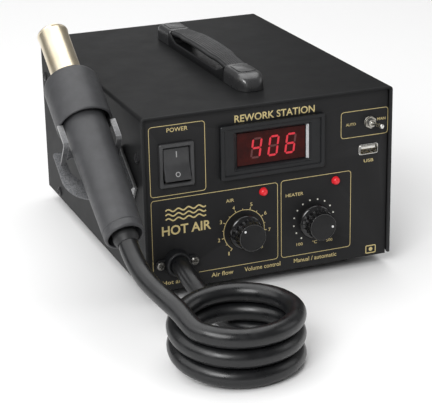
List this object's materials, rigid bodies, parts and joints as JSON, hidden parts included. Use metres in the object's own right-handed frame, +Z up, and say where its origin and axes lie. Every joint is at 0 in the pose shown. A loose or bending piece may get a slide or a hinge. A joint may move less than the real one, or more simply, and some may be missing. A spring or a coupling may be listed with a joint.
{
  "type": "hot air station",
  "caption": "Bench hot air station: a folded sheet case with a control panel, a carry handle, a coiled air hose and a handpiece in a side holder.",
  "frame": {"origin": "on the table, under the middle of the whole object without its hose", "axes": "+Z up; the control panel faces -Y; +X to the right of a user who faces the panel, so the handpiece is on the -X side"},
  "size_m": [0.239, 0.398, 0.1799],
  "materials": {
    "case_paint": "satin black powder coat",
    "panel_paint": "satin black powder coat with gold printed lines",
    "black_plastic": "fine moulded texture",
    "knob_plastic": "fluted, satin",
    "handle_plastic": "satin",
    "strap_vinyl": "ribbed soft vinyl",
    "foot_rubber": "matte",
    "screw_black": "black zinc",
    "plating": "bright nickel",
    "holder_steel": "galvanised sheet with a faint grain",
    "nozzle_steel": "polished, champagne heat tint",
    "handpiece_plastic": "matte moulded",
    "red_filter": "transparent red filter",
    "red_lamp": "clear red lens",
    "ceramic": "ceramic former",
    "hose_silicone": "semi-gloss silicone",
    "tube_silicone": "translucent silicone",
    "pump_metal": "cast",
    "core_steel": "varnished laminations",
    "winding_tape": "yellow insulating tape",
    "board_green": "solder resist",
    "heat_sink_metal": "extruded",
    "pot_metal": "plated can"
  },
  "bodies": {
    "root": {"front_panel": "panel_paint", "base_tray": "panel_paint", "rear_panel": "panel_paint", "cover": "case_paint", "foot_front_left": "foot_rubber", "foot_front_right": "foot_rubber", "foot_rear_left": "foot_rubber", "foot_rear_right": "foot_rubber", "cover_screw_left_front": "screw_black", "cover_screw_left_rear": "screw_black", "cover_screw_left_low": "screw_black", "cover_screw_right_front": "screw_black", "cover_screw_right_rear": "screw_black", "cover_screw_right_low": "screw_black", "handle_cap_front": "handle_plastic", "handle_cap_rear": "handle_plastic", "handle_base": "handle_plastic", "rocker_frame": "black_plastic", "display_bezel": "black_plastic", "display_window": "red_filter", "toggle_body": "black_plastic", "toggle_nut": "plating", "usb_socket": "plating", "led_air": "red_lamp", "led_heater": "red_lamp", "pot_air": "pot_metal", "pot_heater": "pot_metal", "hose_gland": "black_plastic", "gland_screw_left": "plating", "gland_screw_right": "plating", "pump_body": "pump_metal", "pump_lid": "black_plastic", "pump_mount_left": "foot_rubber", "pump_mount_right": "foot_rubber", "air_tube": "tube_silicone", "transformer_core": "core_steel", "transformer_winding": "winding_tape", "main_board": "board_green", "power_board": "board_green", "heat_sink": "heat_sink_metal", "mains_inlet": "black_plastic", "fuse_holder": "black_plastic", "holder": "holder_steel", "holder_screw_lower": "plating", "holder_screw_upper": "plating", "hose_from_gland": "hose_silicone", "hose_coil": "hose_silicone", "hose_to_handpiece": "hose_silicone"},
    "rocker": {"rocker": "black_plastic"},
    "toggle_lever": {"toggle_lever": "plating"},
    "air_dial": {"pot_shaft_air": "plating", "knob_air": "knob_plastic"},
    "heater_dial": {"pot_shaft_heater": "plating", "knob_heater": "knob_plastic"},
    "carry_strap": {"handle_strap": "strap_vinyl"},
    "handpiece": {"handle_shell": "handpiece_plastic", "heat_guard": "handpiece_plastic", "nozzle_tube": "nozzle_steel", "heater_core": "ceramic", "hose_boot": "foot_rubber"}
  },
  "joints": [
    {"name": "rocker_tilt", "type": "hinge", "parent": "root", "child": "rocker", "pos_m": [-0.0448, -0.0976, 0.0995], "axis": [1, 0, 0], "range_deg": [0, 20]},
    {"name": "toggle_throw", "type": "hinge", "parent": "root", "child": "toggle_lever", "pos_m": [0.1007, -0.1022, 0.1102], "axis": [0, 0, 1], "range_deg": [-30, 0]},
    {"name": "air_dial_turn", "type": "hinge", "parent": "root", "child": "air_dial", "pos_m": [0.0041, -0.1068, 0.0437], "axis": [0, 1, 0], "range_deg": [-91, 209]},
    {"name": "heater_dial_turn", "type": "hinge", "parent": "root", "child": "heater_dial", "pos_m": [0.0576, -0.1068, 0.043], "axis": [0, 1, 0], "range_deg": [-239, 61]},
    {"name": "carry_strap_lift", "type": "slide", "parent": "root", "child": "carry_strap", "axis": [0, 0, 1], "range_m": [0, 0.003]},
    {"name": "handpiece_lift", "type": "slide", "parent": "root", "child": "handpiece", "axis": [0, -0.5577, 0.83], "range_m": [0, 0.12]}
  ]
}
